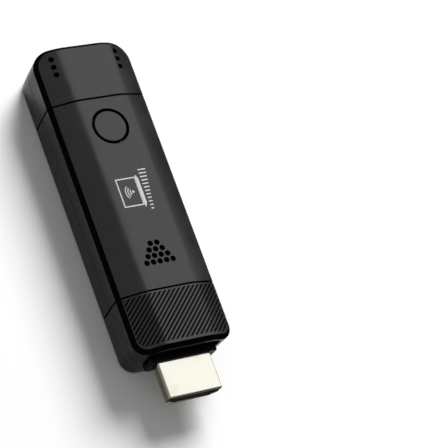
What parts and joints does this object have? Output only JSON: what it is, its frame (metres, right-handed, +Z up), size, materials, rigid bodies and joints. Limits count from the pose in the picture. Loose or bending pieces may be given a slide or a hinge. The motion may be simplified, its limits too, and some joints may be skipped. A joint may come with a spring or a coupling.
{
  "type": "wireless video transmitter stick",
  "caption": "Stick-shaped wireless video transmitter: faceted dark casing with a ribbed grip, round vent holes and a push button, and a flat metal plug with cut corners at one end.",
  "frame": {"origin": "middle of the overall length and width, on the flat underside", "axes": "+Z up, out of the face with the button; the plug points along -Y; +X to the right, seen from the plug's end"},
  "size_m": [0.0254, 0.0882, 0.0143],
  "materials": {
    "casing_plastic": "satin black, moulded",
    "button_plastic": "satin black, moulded",
    "switch_plastic": "black glass-filled nylon",
    "switch_steel": "stamped spring steel",
    "tinned_steel": "tin plated",
    "plug_plating": "pale gold plating, drawn",
    "insulator_plastic": "black moulded",
    "contact_gold": "gold plated",
    "collar_plastic": "satin dark grey, moulded",
    "board_laminate": "green solder mask on glass laminate",
    "screw_steel": "nickel plated",
    "chip_epoxy": "fine matt epoxy",
    "pad_silicone": "soft pale blue pad",
    "spreader_aluminium": "bare, sawn grooves",
    "light_resin": "cloudy lens",
    "can_steel": "tin plated, drawn",
    "ferrite": "pressed dark grey ferrite",
    "antenna_ceramic": "unglazed, metallised ends",
    "capacitor_ceramic": "tan, tinned ends",
    "socket_steel": "nickel plated, drawn"
  },
  "bodies": {
    "casing": {"front_cap_upper": "casing_plastic", "front_cap_lower": "casing_plastic", "upper_shell": "casing_plastic", "lower_shell": "casing_plastic", "rear_cap_upper": "casing_plastic", "rear_cap_lower": "casing_plastic", "switch_base": "switch_plastic", "switch_frame_plate": "switch_steel", "switch_dome": "switch_steel", "switch_terminals": "tinned_steel", "plug_shell": "plug_plating", "plug_insulator": "insulator_plastic", "power_socket_tongue": "insulator_plastic", "plug_contacts_upper": "contact_gold", "plug_contacts_lower": "contact_gold", "power_socket_contacts": "contact_gold", "plug_collar": "collar_plastic", "main_board": "board_laminate", "radio_carrier": "board_laminate", "board_screws": "screw_steel", "signal_driver_chip": "chip_epoxy", "video_processor": "chip_epoxy", "memory_chip": "chip_epoxy", "flash_chip": "chip_epoxy", "radio_chip": "chip_epoxy", "power_regulator": "chip_epoxy", "thermal_pad": "pad_silicone", "heat_spreader": "spreader_aluminium", "status_light_left": "light_resin", "status_light_right": "light_resin", "clock_crystal": "can_steel", "shield_can": "can_steel", "power_inductor_left": "ferrite", "power_inductor_right": "ferrite", "antenna_left": "antenna_ceramic", "antenna_right": "antenna_ceramic", "chip_capacitors": "capacitor_ceramic", "power_socket_shell": "socket_steel"},
    "button": {"button_cap": "button_plastic"},
    "stem": {"switch_stem": "switch_plastic"}
  },
  "joints": [
    {"name": "button_press", "type": "slide", "parent": "casing", "child": "button", "axis": [0, 0, -1], "range_m": [0, 0.0003], "stiffness_N_per_m": 3000, "springref_m": -0.0001},
    {"name": "stem_slide", "type": "slide", "parent": "casing", "child": "stem", "axis": [0, 0, -1], "range_m": [0, 0.0003], "deforming": ["switch_dome"]}
  ],
  "couplings": [
    {"joint": "stem_slide", "follows": "button_press", "ratio": 1}
  ]
}
